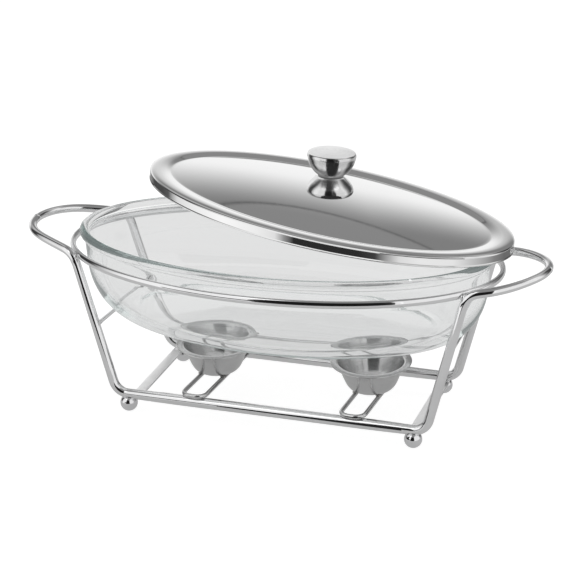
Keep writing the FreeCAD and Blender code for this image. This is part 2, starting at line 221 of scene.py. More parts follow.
def tube(path, radius, n=28, closed=False, squash=(1.0, 1.0), up=None, ends="round"):
    """Round or oval tube along a dense path with a radius per point."""
    P = np.asarray(path, float)
    m = len(P)
    R = np.full(m, radius, float) if np.isscalar(radius) else np.asarray(radius, float)
    T = np.zeros_like(P)
    for i in range(m):
        a, b = (P[(i - 1) % m], P[(i + 1) % m]) if closed else (P[max(i - 1, 0)], P[min(i + 1, m - 1)])
        T[i] = unit(b - a)
    N = np.zeros_like(P)
    ref = np.array([0, 0, 1.0]) if up is None else np.asarray(up, float)
    if abs(T[0] @ ref) > 0.9:
        ref = np.array([0, 1.0, 0])
    N[0] = unit(ref - (ref @ T[0]) * T[0])
    for i in range(1, m):
        q = ref if up is not None else N[i - 1]
        N[i] = unit(q - (q @ T[i]) * T[i])
    t = np.linspace(0, 2 * np.pi, n, endpoint=False)
    c, s = np.cos(t), np.sin(t)
    v = []
    rows = []

    def row(p, nn, tt, r):
        bb = np.cross(tt, nn)
        rows.append(1)
        for cc, ss in zip(c, s):
            v.append(p + r * (squash[1] * cc * nn + squash[0] * ss * bb))
    if not closed and ends == "round":
        for a in (80, 60, 40, 20):
            a = math.radians(a)
            row(P[0] - T[0] * R[0] * 0.5 * math.sin(a), N[0], T[0], R[0] * math.cos(a))
    for i in range(m):
        row(P[i], N[i], T[i], R[i])
    if not closed and ends == "round":
        for a in (20, 40, 60, 80):
            a = math.radians(a)
            row(P[-1] + T[-1] * R[-1] * 0.5 * math.sin(a), N[-1], T[-1], R[-1] * math.cos(a))
    k = len(rows)
    f = [tuple(reversed(q)) for q in ring_faces(k, n, closed)]
    if not closed:
        v.append(P[0] - (T[0] * R[0] * 0.5 if ends == "round" else 0))
        i = len(v) - 1
        f += [(i, j, (j + 1) % n) for j in range(n)]
        v.append(P[-1] + (T[-1] * R[-1] * 0.5 if ends == "round" else 0))
        i = len(v) - 1
        o = (k - 1) * n
        f += [(i, o + (j + 1) % n, o + j) for j in range(n)]
    return v, f


def join(*meshes):
    v, f = [], []
    for mv, mf in meshes:
        o = len(v)
        v += list(mv)
        f += [tuple(i + o for i in q) for q in mf]
    return v, f


def blob(centre, size, axes=None, seed=0, rough=0.08, n=22):
    """Small lump of weld metal: a squashed ball with a slightly uneven skin."""
    rng = np.random.default_rng(seed)
    k = rng.normal(size=(6, 3)) * 1.6
    ph = rng.uniform(0, 6.28, 6)
    v, f = lathe([(0, -1)] + [(math.cos(a), math.sin(a)) for a in np.radians(np.linspace(-78, 78, n // 2))] + [(0, 1)], n)
    v = np.array(v)
    w = sum(np.sin(v @ kk * 2.2 + p) for kk, p in zip(k, ph)) / 6
    v = v * (1 + rough * w[:, None]) * np.asarray(size, float)
    if axes is not None:
        v = v @ np.asarray(axes, float)
    return list(v + np.asarray(centre, float)), f


# ----------------------------------------------------------------- materials
def nodes_of(mat):
    mat.use_nodes = True
    nt = mat.node_tree
    nt.nodes.clear()
    out = nt.nodes.new("ShaderNodeOutputMaterial")
    return nt, out


def put(nt, kind, **kw):
    nd = nt.nodes.new(kind)
    for k, val in kw.items():
        if hasattr(nd, k):
            setattr(nd, k, val)
        else:
            nd.inputs[k].default_value = val
    return nd


def ramp(nt, stops, interp="LINEAR"):
    r = nt.nodes.new("ShaderNodeValToRGB")
    r.color_ramp.interpolation = interp
    e = r.color_ramp.elements
    while len(e) > 1:
        e.remove(e[-1])
    e[0].position, e[0].color = stops[0][0], (*stops[0][1], 1) if isinstance(stops[0][1], tuple) else (stops[0][1],) * 3 + (1,)
    for p, c in stops[1:]:
        q = e.new(p)
        q.color = (*c, 1) if isinstance(c, tuple) else (c, c, c, 1)
    return r


def metal(name, colour, rough, rough_var=0.03, scale=220.0, stretch=(1, 1, 1), tone=0.04, bump=0.04,
          grime=0.0, grime_colour=(0.25, 0.23, 0.21), large=14.0, large_bump=0.0, aniso=0.0, coat=0.0):
    """Plated or polished metal: fine polishing marks, soft tonal drift, uneven gloss."""
    mat = bpy.data.materials.new(name)
    nt, out = nodes_of(mat)
    L = nt.links.new
    b = put(nt, "ShaderNodeBsdfPrincipled")
    b.inputs["Metallic"].default_value = 1.0
    b.inputs["Anisotropic"].default_value = aniso
    b.inputs["Coat Weight"].default_value = coat
    b.inputs["Coat Roughness"].default_value = 0.05
    L(b.outputs[0], out.inputs["Surface"])
    tc = put(nt, "ShaderNodeTexCoord")
    mp = put(nt, "ShaderNodeMapping")
    mp.inputs["Scale"].default_value = stretch
    L(tc.outputs["Object"], mp.inputs["Vector"])
    fine = put(nt, "ShaderNodeTexNoise", Scale=scale, Detail=4.0, Roughness=0.6)
    L(mp.outputs[0], fine.inputs["Vector"])
    big = put(nt, "ShaderNodeTexNoise", Scale=large, Detail=2.0, Roughness=0.5)
    L(tc.outputs["Object"], big.inputs["Vector"])
    mr = put(nt, "ShaderNodeMapRange")
    mr.inputs["From Min"].default_value, mr.inputs["From Max"].default_value = 0.3, 0.7
    mr.inputs["To Min"].default_value, mr.inputs["To Max"].default_value = max(rough - rough_var, 0.005), rough + rough_var
    mix = put(nt, "ShaderNodeMath", operation="ADD")
    half = put(nt, "ShaderNodeMath", operation="MULTIPLY")
    half.inputs[1].default_value = 0.5
    L(fine.outputs["Fac"], mix.inputs[0])
    L(big.outputs["Fac"], mix.inputs[1])
    L(mix.outputs[0], half.inputs[0])
    L(half.outputs[0], mr.inputs["Value"])
    L(mr.outputs[0], b.inputs["Roughness"])
    lo = tuple(c * (1 - tone) for c in colour)
    hi = tuple(min(1.0, c * (1 + tone)) for c in colour)
    cr = ramp(nt, [(0.35, lo), (0.65, hi)])
    L(big.outputs["Fac"], cr.inputs["Fac"])
    last = cr.outputs["Color"]
    if grime > 0:
        sp = put(nt, "ShaderNodeTexNoise", Scale=large * 2.4, Detail=6.0, Roughness=0.7)
        L(tc.outputs["Object"], sp.inputs["Vector"])
        gr = ramp(nt, [(0.55, 0.0), (0.78, 1.0)])
        L(sp.outputs["Fac"], gr.inputs["Fac"])
        gm = put(nt, "ShaderNodeMath", operation="MULTIPLY")
        gm.inputs[1].default_value = grime
        L(gr.outputs["Color"], gm.inputs[0])
        mx = put(nt, "ShaderNodeMix", data_type="RGBA")
        L(gm.outputs[0], mx.inputs["Factor"])
        L(last, mx.inputs[6])
        mx.inputs[7].default_value = (*grime_colour, 1)
        last = mx.outputs[2]
    L(last, b.inputs["Base Color"])
    bp = put(nt, "ShaderNodeBump")
    bp.inputs["Strength"].default_value = bump
    bp.inputs["Distance"].default_value = 0.0002
    L(fine.outputs["Fac"], bp.inputs["Height"])
    if large_bump > 0:
        bp2 = put(nt, "ShaderNodeBump")
        bp2.inputs["Strength"].default_value = large_bump
        bp2.inputs["Distance"].default_value = 0.001
        L(big.outputs["Fac"], bp2.inputs["Height"])
        L(bp.outputs[0], bp2.inputs["Normal"])
        L(bp2.outputs[0], b.inputs["Normal"])
    else:
        L(bp.outputs[0], b.inputs["Normal"])
    return mat


def spun(name, colour, rough, rings=900.0, bump=0.12, tone=0.10, rough_var=0.06, aniso=0.0):
    """Spun or turned metal: fine rings round the piece, kept in its UV map (u round, v along)."""
    mat = bpy.data.materials.new(name)
    nt, out = nodes_of(mat)
    L = nt.links.new
    b = put(nt, "ShaderNodeBsdfPrincipled")
    b.inputs["Metallic"].default_value = 1.0
    b.inputs["Anisotropic"].default_value = aniso
    b.inputs["Anisotropic Rotation"].default_value = 0.25
    L(b.outputs[0], out.inputs["Surface"])
    uv = put(nt, "ShaderNodeUVMap")
    mp = put(nt, "ShaderNodeMapping")
    mp.inputs["Scale"].default_value = (1.2, rings, 1.0)
    L(uv.outputs[0], mp.inputs["Vector"])
    n1 = put(nt, "ShaderNodeTexNoise", Scale=1.0, Detail=5.0, Roughness=0.65)
    L(mp.outputs[0], n1.inputs["Vector"])
    tc = put(nt, "ShaderNodeTexCoord")
    n2 = put(nt, "ShaderNodeTexNoise", Scale=60.0, Detail=3.0, Roughness=0.5)
    L(tc.outputs["Object"], n2.inputs["Vector"])
    mx = put(nt, "ShaderNodeMath", operation="ADD")
    L(n1.outputs["Fac"], mx.inputs[0])
    L(n2.outputs["Fac"], mx.inputs[1])
    cr = ramp(nt, [(0.35, tuple(c * (1 - tone) for c in colour)), (0.65, tuple(min(1, c * (1 + tone)) for c in colour))])
    hf = put(nt, "ShaderNodeMath", operation="MULTIPLY")
    hf.inputs[1].default_value = 0.5
    L(mx.outputs[0], hf.inputs[0])
    L(hf.outputs[0], cr.inputs["Fac"])
    L(cr.outputs["Color"], b.inputs["Base Color"])
    mr = put(nt, "ShaderNodeMapRange")
    mr.inputs["From Min"].default_value, mr.inputs["From Max"].default_value = 0.3, 0.7
    mr.inputs["To Min"].default_value, mr.inputs["To Max"].default_value = max(rough - rough_var, 0.02), rough + rough_var
    L(hf.outputs[0], mr.inputs["Value"])
    L(mr.outputs[0], b.inputs["Roughness"])
    bp = put(nt, "ShaderNodeBump")
    bp.inputs["Strength"].default_value = bump
    bp.inputs["Distance"].default_value = 0.0002
    L(n1.outputs["Fac"], bp.inputs["Height"])
    L(bp.outputs[0], b.inputs["Normal"])
    return mat


def glass(name, tint, density):
    """Clear pressed glass: faint ripple in the skin, green only where it is deep, and a faint painted glow all over."""
    mat = bpy.data.materials.new(name)
    nt, out = nodes_of(mat)
    L = nt.links.new
    b = put(nt, "ShaderNodeBsdfPrincipled")
    b.inputs["Base Color"].default_value = (1, 1, 1, 1)
    b.inputs["Transmission Weight"].default_value = 1.0
    b.inputs["IOR"].default_value = 1.5
    b.inputs["Emission Color"].default_value = (0.93, 1.0, 1.0, 1)      # painted glow: faint even emission over the whole glass, standing in for stray light in the thick rim
    b.inputs["Emission Strength"].default_value = 0.0095
    L(b.outputs[0], out.inputs["Surface"])
    tc = put(nt, "ShaderNodeTexCoord")
    n1 = put(nt, "ShaderNodeTexNoise", Scale=26.0, Detail=2.0, Roughness=0.45)
    L(tc.outputs["Object"], n1.inputs["Vector"])
    n2 = put(nt, "ShaderNodeTexNoise", Scale=160.0, Detail=3.0, Roughness=0.5)
    L(tc.outputs["Object"], n2.inputs["Vector"])
    mr = put(nt, "ShaderNodeMapRange")
    mr.inputs["From Min"].default_value, mr.inputs["From Max"].default_value = 0.35, 0.75
    mr.inputs["To Min"].default_value, mr.inputs["To Max"].default_value = 0.0, 0.03
    L(n2.outputs["Fac"], mr.inputs["Value"])
    L(mr.outputs[0], b.inputs["Roughness"])
    bp = put(nt, "ShaderNodeBump")
    bp.inputs["Strength"].default_value = 0.16
    bp.inputs["Distance"].default_value = 0.001
    L(n1.outputs["Fac"], bp.inputs["Height"])
    L(bp.outputs[0], b.inputs["Normal"])
    va = put(nt, "ShaderNodeVolumeAbsorption")
    va.inputs["Color"].default_value = (*tint, 1)
    va.inputs["Density"].default_value = density
    L(va.outputs[0], out.inputs["Volume"])
    return mat


M_WIRE = metal("chrome_wire", (0.80, 0.80, 0.805), 0.055, 0.02, scale=380, tone=0.03, bump=0.05, large=24, large_bump=0.05)
M_BALL = metal("chrome_ball", (0.78, 0.78, 0.79), 0.06, 0.02, scale=420, tone=0.03, bump=0.05, large=60)
M_STRAP = metal("strap_steel", (0.90, 0.90, 0.90), 0.36, 0.08, scale=900, stretch=(1, 0.04, 1), tone=0.06, bump=0.2, large=40)
M_LID = metal("lid_steel", (0.78, 0.78, 0.78), 0.06, 0.02, scale=300, tone=0.015, bump=0.02, large=9, large_bump=0.03)
M_KNOB = spun("knob_steel", (0.74, 0.74, 0.74), 0.19, rings=320, bump=0.16, tone=0.10, rough_var=0.05, aniso=0.75)
M_KNOBTOP = spun("knob_brushed", (0.88, 0.88, 0.88), 0.36, rings=420, bump=0.35)
M_FAST = metal("fastener_steel", (0.6, 0.6, 0.61), 0.25, 0.06, scale=600, tone=0.08, bump=0.1)
M_CUP = spun("cup_steel", (0.61, 0.61, 0.61), 0.20, rings=260, bump=0.16, tone=0.05, rough_var=0.03, aniso=0.7)
M_BWIRE = metal("burner_wire", (0.62, 0.62, 0.62), 0.12, 0.04, scale=500, tone=0.08, bump=0.08, grime=0.25)
M_JOINT = metal("joint_line", (0.16, 0.16, 0.16), 0.38, 0.08, scale=700, tone=0.2, bump=0.2)
M_WELD = metal("weld_metal", (0.40, 0.39, 0.38), 0.32, 0.08, scale=700, tone=0.2, bump=0.4, grime=0.6)
M_GLASS = glass("clear_glass", (0.76, 0.83, 0.82), 7.5)


# ------------------------------------------------------------- stand, wires
def hz(x):
    return TOP_Z + (x - TOP_X) * HANDLE_RISE


def half_points(s, side):
    """Corners of one leg and half handle, as on the +X side."""
    top, pts = TOP_XY[s][side], HANDLE[(s, side)][0]
    q = [(CORNER_X[s][side], s * RAIL_Y, RAIL_Z), (top[0], s * top[1], TOP_Z)]
    q += [(x, s * y, hz(x)) for x, y in pts] + [(pts[-1][0], WELD_Y[side], hz(pts[-1][0]))]
    return [np.array(v, float) for v in q]


def ease(P, s, ends):
    """Even spacing, and bends that run into each other without a break in the handle loops."""
    arc = np.concatenate([[0], np.cumsum(np.linalg.norm(np.diff(P, axis=0), axis=1))])
    g = np.linspace(0, arc[-1], int(arc[-1] / 1.2))
    Q = np.stack([np.interp(g, arc, P[:, k]) for k in range(3)], 1)
    step = g[1]
    pad = 24
    lo, hi = Q[pad:0:-1].copy(), Q[-2:-pad - 2:-1].copy()
    lo[:, 1], hi[:, 1] = 2 * ends[0] - lo[:, 1], 2 * ends[1] - hi[:, 1]
    W = np.concatenate([lo, Q, hi])
    out = Q.copy()
    for i in range(len(Q)):
        z, x = Q[i, 2], abs(Q[i, 0])
        h = 1.2 + 2.4 * min(max((z - 112) / 12, 0), 1) + 5.0 * min(max((x - 166) / 18, 0), 1)
        k = int(min(pad, math.ceil(2.5 * h / step)))
        d = np.arange(-k, k + 1) * step
        w = np.exp(-0.5 * (d / h) ** 2)
        out[i] = (W[i + pad - k:i + pad + k + 1] * w[:, None]).sum(0) / w.sum()
    out[0, 1], out[-1, 1] = ends
    return out


def frame_wire(s):
    """One tapered bent rod from the left handle's middle round to the right one's."""
    right = half_points(s, 1)
    left = [q * np.array([-1, 1, 1]) for q in half_points(s, 0)]

    def last_bend(q, y):
        d1, d2 = unit(q[-2] - q[-3]), unit(q[-1] - q[-2])
        return abs(q[-2][1] - y) / math.tan(math.acos(float(d1 @ d2)) / 2)
    pts = list(reversed(left)) + right
    bl = [BOTTOM_BEND, TOP_BEND] + HANDLE[(s, 0)][1] + [last_bend(left, WELD_Y[0])]
    br = [BOTTOM_BEND, TOP_BEND] + HANDLE[(s, 1)][1] + [last_bend(right, WELD_Y[1])]
    P = ease(fillet_path(pts, list(reversed(bl)) + br, steps=40, run=3.0), s, WELD_Y)
    # radius along the rod: thickest in the middle of the rail
    arc = np.concatenate([[0], np.cumsum(np.linalg.norm(np.diff(P, axis=0), axis=1))])
    stations = []
    for q, r in ((left[2], HANDLE_R), (left[1], LEG_TOP_R), (left[0], BEND_R), (left[0] + [45, 0, 0], RAIL_R),
                 (right[0] - [45, 0, 0], RAIL_R), (right[0], BEND_R), (right[1], LEG_TOP_R), (right[2] if len(right) == 4 else (right[2] + right[3]) / 2, HANDLE_R)):
        i = int(np.argmin(np.linalg.norm(P - q, axis=1)))
        stations.append((arc[i], r))
    st = np.array(stations)
    R = np.interp(arc, st[:, 0], st[:, 1])
    k = 9
    R = np.convolve(np.pad(R, k, mode="edge"), np.ones(2 * k + 1) / (2 * k + 1), "valid")
    # a faint swelling at the butt weld in the middle of each handle
    for e in (0.0, arc[-1]):
        R = R + 0.05 * np.exp(-((arc - e) / 1.8) ** 2)
    return tube(P, R, n=36, ends="flat")


for s, nm in ((-1, "front_frame_wire"), (1, "rear_frame_wire")):
    v, f = frame_wire(s)
    make("chrome_" + nm, v, f, "stand", (nm,), M_WIRE)

t = np.linspace(0, 2 * np.pi, 360, endpoint=False)
ringp = np.stack([RING_A * np.cos(t), RING_B * np.sin(t), np.full(360, RING_Z)], 1)
v, f = tube(ringp, 1.0, n=28, closed=True, squash=(RING_HW, RING_HH), up=(0, 0, 1))
make("chrome_support_ring", v, f, "stand", ("support_ring",), M_WIRE)


def leg_at(s, side, z):
    c, (tx, ty) = CORNER_X[s][side], TOP_XY[s][side]
    k = (z - RAIL_Z) / (TOP_Z - RAIL_Z)
    x = c + (tx - c) * k
    return np.array([x if side else -x, s * (RAIL_Y + (ty - RAIL_Y) * k), z])


for side, nm in ((0, "left"), (1, "right")):
    a, b = leg_at(-1, side, ROD_Z[side]), leg_at(1, side, ROD_Z[side])
    sh = np.array([-1.2 if side else 1.2, 0, 0])
    a, b = a + sh, b + sh
    d = unit(b - a)
    P = np.array([a + (b - a) * k for k in np.linspace(0.02, 0.98, 24)])
    rr = np.full(24, ROD_R)
    rr[:2] += (0.5, 0.2)
    rr[-2:] += (0.2, 0.5)
    v, f = tube(P, rr, n=20)
    make("chrome_%s_cross_rod" % nm, v, f, "stand", (nm + "_cross_rod",), M_WIRE)


def strap_mesh(x):
    """Flat strip with eased edges and flat ends."""
    h, tt, r = STRAP_W / 2, STRAP_T / 2, 0.55
    sec = []
    for cx, cz, a0 in ((h - r, tt - r, 0), (-h + r, tt - r, 90), (-h + r, -tt + r, 180), (h - r, -tt + r, 270)):
        for k in range(5):
            a = math.radians(a0 + 90 * k / 4)
            sec.append((cx + r * math.cos(a), cz + r * math.sin(a)))
    ys = np.linspace(-46.4, 46.4, 40)
    zc = STRAP_TOP - tt
    v = []
    for y in ys:
        for sx, sz in sec:
            v.append(np.array([x + sx, y, zc + sz]))
    n = len(sec)
    f = [tuple(reversed(q)) for q in ring_faces(len(ys), n)]
    f.append(tuple(range(n)))
    f.append(tuple(reversed(range((len(ys) - 1) * n, len(ys) * n))))
    return v, f


for side, sx in ((0, -1), (1, 1)):
    v, f = strap_mesh(sx * STRAP_X[side])
    nm = "left" if side == 0 else "right"
    make("satin_%s_base_strap" % nm, v, f, "stand", (nm + "_base_strap",), M_STRAP, sharp=40)


# ball feet, each with a short collar of weld metal under the rail
def foot_mesh(x, y):
    prof = [(0, 0.0), (1.2, 0.0), (1.75, 0.12)]
    for a in np.linspace(-74, 68, 40):
        prof.append((FOOT_R * math.cos(math.radians(a)), 6.815 + FOOT_R * math.sin(math.radians(a))))
    prof += [(2.4, 12.6), (0, 12.7)]
    v, f = lathe(prof, 48)
    return [q + np.array([x, y, 0]) for q in v], f


for end, s in (("front", -1), ("rear", 1)):
    for side, nm in ((0, "left"), (1, "right")):
        x = FOOT_X[s][side] * (1 if side else -1)
        v, f = foot_mesh(x, s * RAIL_Y)
        make("chrome_%s_%s_foot" % (end, nm), v, f, "stand", ("%s_%s_foot" % (end, nm),), M_BALL, sharp=50)

# weld lumps: ring to legs, rods to legs, straps and feet to rails
lumps = []
seed = 3
for s in (-1, 1):
    for side in (0, 1):
        sx = 1 if side else -1
        leg = leg_at(s, side, RING_Z)
        tt = math.atan2(leg[1] / RING_B, leg[0] / RING_A)
        rp = np.array([RING_A * math.cos(tt), RING_B * math.sin(tt), RING_Z])
        mid = (leg + rp) / 2 + np.array([0, 0, -1.0])
        out = unit(np.array([leg[0] - rp[0], leg[1] - rp[1], 0]) + 1e-9)
        tan = np.array([-out[1], out[0], 0])
        lumps.append(blob(mid, (2.6, 3.4, 3.0), (out, tan, (0, 0, 1)), seed))
        rod = leg_at(s, side, ROD_Z[side]) + np.array([-1.2 * sx, -s * 3.4, 0])
        lumps.append(blob(rod, (2.1, 1.5, 2.1), None, seed + 1))
        fx = FOOT_X[s][side] * sx
        lumps.append(blob((fx, s * RAIL_Y, 12.0), (4.4, 4.0, 1.5), None, seed + 2, rough=0.05))
        px = STRAP_X[side] * sx
        lumps.append(blob((px, s * (RAIL_Y - 3.2), STRAP_TOP - 0.2), (4.2, 1.6, 1.3), None, seed + 3))
        seed += 7
v, f = join(*lumps)
make("stand_welds", v, f, "stand", (), M_WIRE)


# --------------------------------------------------------------- glass dish
def dish_sections():
    turn_in, n = 4.6, 26
    ax, bx = DISH_A - turn_in, DISH_B - turn_in
    secs = [(2.0, 1.0, DISH_BASE_Z + 0.9), (60, 30, DISH_BASE_Z + 0.9), (DISH_BASE_A - 9, DISH_BASE_B - 9, DISH_BASE_Z + 0.85),
            (DISH_BASE_A - 5.5, DISH_BASE_B - 5.5, DISH_BASE_Z + 0.35), (DISH_BASE_A - 3, DISH_BASE_B - 3, DISH_BASE_Z + 0.03)]
    for i in range(n + 1):
        u = math.radians(90 - 90 * i / n)
        f = math.cos(u)
        secs.append((DISH_BASE_A + (ax - DISH_BASE_A) * f, DISH_BASE_B + (bx - DISH_BASE_B) * f,
                     DISH_TURN_Z - (DISH_TURN_Z - DISH_BASE_Z) * math.sin(u)))
    secs.append((DISH_A - 4.1, DISH_B - 4.1, BEAD_Z - 12))
    secs.append((DISH_A - 3.65, DISH_B - 3.65, BEAD_Z - 5.6))
    for o, z in ((3.1, -3.9), (2.2, -3.4), (1.1, -2.6), (0.35, -1.4), (0.0, 0.0), (0.2, 1.4),
                 (0.9, 2.7), (1.9, 3.6), (3.1, 4.1), (4.4, 4.1), (5.5, 3.6), (6.4, 2.6),
                 (6.9, 1.2), (7.2, -0.8)):
        secs.append((DISH_A - o, DISH_B - o, BEAD_Z + z))
    ia, ib = DISH_A - turn_in - DISH_WALL, DISH_B - turn_in - DISH_WALL
    ba, bb = DISH_BASE_A - 3.5, DISH_BASE_B - 3.5
    secs.append((DISH_A - 8.1, DISH_B - 8.1, BEAD_Z - 6.0))
    floor_z = DISH_BASE_Z + DISH_FLOOR
    for i in range(n + 1):
        u = math.radians(90 * i / n)
        f = math.cos(u)
        secs.append((ba + (ia - ba) * f, bb + (ib - bb) * f,
                     DISH_TURN_Z - (DISH_TURN_Z - floor_z) * math.sin(u)))
    secs += [(ba - 12, bb - 12, floor_z), (60, 28, floor_z), (2.0, 1.0, floor_z)]
    return spline(secs, 3)


v, f = oval_loft(dish_sections(), n=360)
make("clear_glass_dish", v, f, "dish", ("glass_dish",), M_GLASS)


# ---------------------------------------------------------------------- lid
LID_LINE = [(0.35, 0.0), (-0.15, 0.45), (-0.2, 1.0), (0.1, 1.5), (0.25, 1.8), (0.25, 7.0),
            (0.45, 7.75), (1.0, 8.3), (1.9, 8.7), (3.2, 9.0), (5.0, 9.17), (7.2, 9.2), (9.6, 9.12),
            (12.0, 8.9), (14.2, 8.58), (16.2, 8.18), (17.8, 7.82), (18.9, 7.6)]
LID_STEP = (19.8, 7.55)


def side_inset(o):
    return o if o < 1 else 1 + (o - 1) * SIDE_K


def rot(axis, deg):
    return np.array(Matrix.Rotation(math.radians(deg), 3, axis))


LID_ROT = rot("Z", LID_YAW) @ rot("Y", LID_TILT) @ rot("X", LID_ROLL)
LID_PLACE = (LID_ROT, np.array(LID_POS))
KNOB_PLACE = (LID_ROT, np.array(LID_POS) + LID_ROT @ np.array([KNOB_X, 0.0, 0.0]))


def lid_mesh():
    a, b = LID_A, LID_B
    line = LID_LINE + [LID_STEP]
    skirt = [LID_LINE[4], (0.25, 3.2), (0.25, 5.2), (0.25, 6.6)]
    pts = LID_LINE[:4] + skirt + LID_LINE[5:] + [LID_STEP]
    outer = [tuple(q) for q in spline(pts, 4)]
    da, db = a - LID_STEP[0], b - side_inset(LID_STEP[0])
    dome = []
    for s in np.linspace(0.985, 0.03, 46):
        dome.append((da * s, db * s, LID_STEP[1] + (DOME_Z - LID_STEP[1]) * (1 - s * s)))
    # the same line one sheet thickness inside
    inner = []
    for i, (o, z) in enumerate(outer):
        p0, p1 = outer[max(i - 1, 0)], outer[min(i + 1, len(outer) - 1)]
        tx, tz = p1[0] - p0[0], p1[1] - p0[1]
        ln = math.hypot(tx, tz) or 1.0
        inner.append((o + tz / ln * SHEET, z - tx / ln * SHEET))
    inner[0] = (outer[0][0] + SHEET, 0.0)
    o_secs = [(a - o, b - side_inset(o), z) for o, z in outer]
    i_secs = [(a - o, b - side_inset(o), z) for o, z in inner]
    ia, ib = i_secs[-1][0], i_secs[-1][1]
    under = [(ia * s, ib * s, LID_STEP[1] + (DOME_Z - LID_STEP[1]) * (1 - s * s) - SHEET)
             for s in np.linspace(0.985, 0.03, 46)]
    lip = [(a - outer[0][0] - SHEET / 2, b - outer[0][0] - SHEET / 2, -0.12)]
    secs = list(reversed(dome)) + list(reversed(o_secs)) + lip + i_secs + under
    v, f = oval_loft(secs, n=384, cap_start=False, cap_end=False, loop=True)
    # the screw hole sits under the knob, a little to the right
    v = np.array(v, float)
    k = np.clip(1.25 - np.hypot(v[:, 0] / da, v[:, 1] / db) / 0.16, 0.0, 1.0) * KNOB_X
    v[:, 2] -= (DOME_Z - LID_STEP[1]) * ((v[:, 0] + k) ** 2 - v[:, 0] ** 2) / da ** 2
    v[:, 0] += k
    return list(v), f


v, f = lid_mesh()
make("polished_lid_shell", v, f, "lid", ("lid_shell",), M_LID, place=LID_PLACE)

DOME_TOP = LID_STEP[1] + (DOME_Z - LID_STEP[1]) * (1 - 0.09 ** 2)


def lathe_uv(ob, prof, n, loop=False):
    """u runs round, v along the outline in metres, for the turning marks."""
    me = ob.data
    pts = np.array(prof)
    arc = np.concatenate([[0], np.cumsum(np.linalg.norm(np.diff(pts, axis=0), axis=1))]) * MM
    pole0 = (not loop) and pts[0][0] < 1e-6
    rows = len(pts) - int(pole0) - int((not loop) and pts[-1][0] < 1e-6)
    uv = me.uv_layers.new(name="UVMap")
    for poly in me.polygons:
        us = []
        for li in poly.loop_indices:
            vi = me.loops[li].vertex_index
            if vi < rows * n:
                us.append(((vi % n) / n, arc[vi // n + int(pole0)]))
            else:
                us.append((None, arc[0] if (pole0 and vi == rows * n) else arc[-1]))
        known = [u for u, _ in us if u is not None]
        wrap = max(known) - min(known) > 0.5
        vals = [(u + 1 if wrap and u is not None and u < 0.5 else u) for u, _ in us]
        mean = np.mean([u for u in vals if u is not None])
        for li, u, (_, vv) in zip(poly.loop_indices, vals, us):
            uv.data[li].uv = (mean if u is None else u, vv)


z0 = DOME_TOP
base_line = spline([(2.75, 0.0), (14.0, 0.0), (16.6, 0.45), (18.0, 1.5), (KNOB_BASE_R - 0.1, 2.75), (KNOB_BASE_R, KNOB_WIDE_Z),
                    (KNOB_BASE_R - 0.3, 5.1), (17.6, 7.0), (16.3, 9.0), (14.6, 11.0), (12.6, 13.0), (10.8, 14.5),
                    (KNOB_NECK_R + 0.35, KNOB_NECK_Z - 0.4), (KNOB_NECK_R - 0.6, KNOB_NECK_Z - 0.05)], 5, corners=(1,))
base_line = [(r, z0 + h) for r, h in base_line] + [(2.75, z0 + KNOB_NECK_Z - 0.05)]
v, f = lathe(base_line, 96, loop=True)
ob = make("knob_base_turned", v, f, "lid", ("knob_base",), M_KNOB, sharp=45, place=KNOB_PLACE)
lathe_uv(ob, base_line, 96, loop=True)

ob.data.materials.append(M_JOINT)
for poly in ob.data.polygons:
    if (LID_ROT.T @ (np.array(poly.center) / MM - KNOB_PLACE[1]))[2] > z0 + KNOB_NECK_Z - 0.75:
        poly.material_index = 1

n0, e0 = KNOB_NECK_Z, KNOB_EDGE_Z
side = spline([(KNOB_NECK_R - 0.6, n0 + 0.05), (KNOB_NECK_R + 0.4, n0 + 0.45), (11.3, n0 + 1.4), (13.1, n0 + 2.8), (14.8, n0 + 4.6),
               (16.6, n0 + 7.2), (18.0, n0 + 10.1), (18.9, n0 + 13.2), (KNOB_TOP_R, n0 + 15.9), (KNOB_TOP_R - 0.1, e0 - 0.7),
               (KNOB_TOP_R - 0.35, e0 + 0.2), (KNOB_TOP_R - 1.0, e0 + 0.8)], 5)
top = spline([(KNOB_TOP_R - 1.0, e0 + 0.8), (17.0, e0 + 1.3), (13.5, e0 + 2.15), (9.5, e0 + 2.85), (5.0, e0 + 3.4), (1.5, KNOB_TOP_Z - 0.02),
              (0.0, KNOB_TOP_Z)], 6)
cap_line = [(2.5, z0 + n0 + 12.0), (2.5, z0 + n0 + 0.05)] + [(r, z0 + h) for r, h in side] + [(r, z0 + h) for r, h in top[1:]]
cap_line = [(0.0, z0 + n0 + 12.0)] + cap_line
v, f = lathe(cap_line, 96)
ob = make("knob_cap_turned", v, f, "lid", ("knob_cap",), M_KNOB, sharp=45, place=KNOB_PLACE)
lathe_uv(ob, cap_line, 96)
ob.data.materials.append(M_KNOBTOP)
ob.data.materials.append(M_JOINT)
first_top = (3 + len(side) - 2) * 96
inv = LID_ROT.T
for poly in ob.data.polygons:
    c = inv @ (np.array(poly.center) / MM - KNOB_PLACE[1])
    if c[2] > z0 + e0 + 0.78:
        poly.material_index = 1
    elif c[2] < z0 + n0 + 0.85:
        poly.material_index = 2

wz = z0 - SHEET
wash = spline([(2.65, wz - 1.0), (5.9, wz - 1.0), (6.0, wz - 0.9), (6.0, wz - 0.1), (5.9, wz), (2.65, wz)], 3, corners=range(6))
v, f = lathe(wash[:-1] + [(2.65, wz)], 64, loop=True)
make("knob_washer_plate", v, f, "lid", ("knob_washer",), M_FAST, sharp=40, place=KNOB_PLACE)


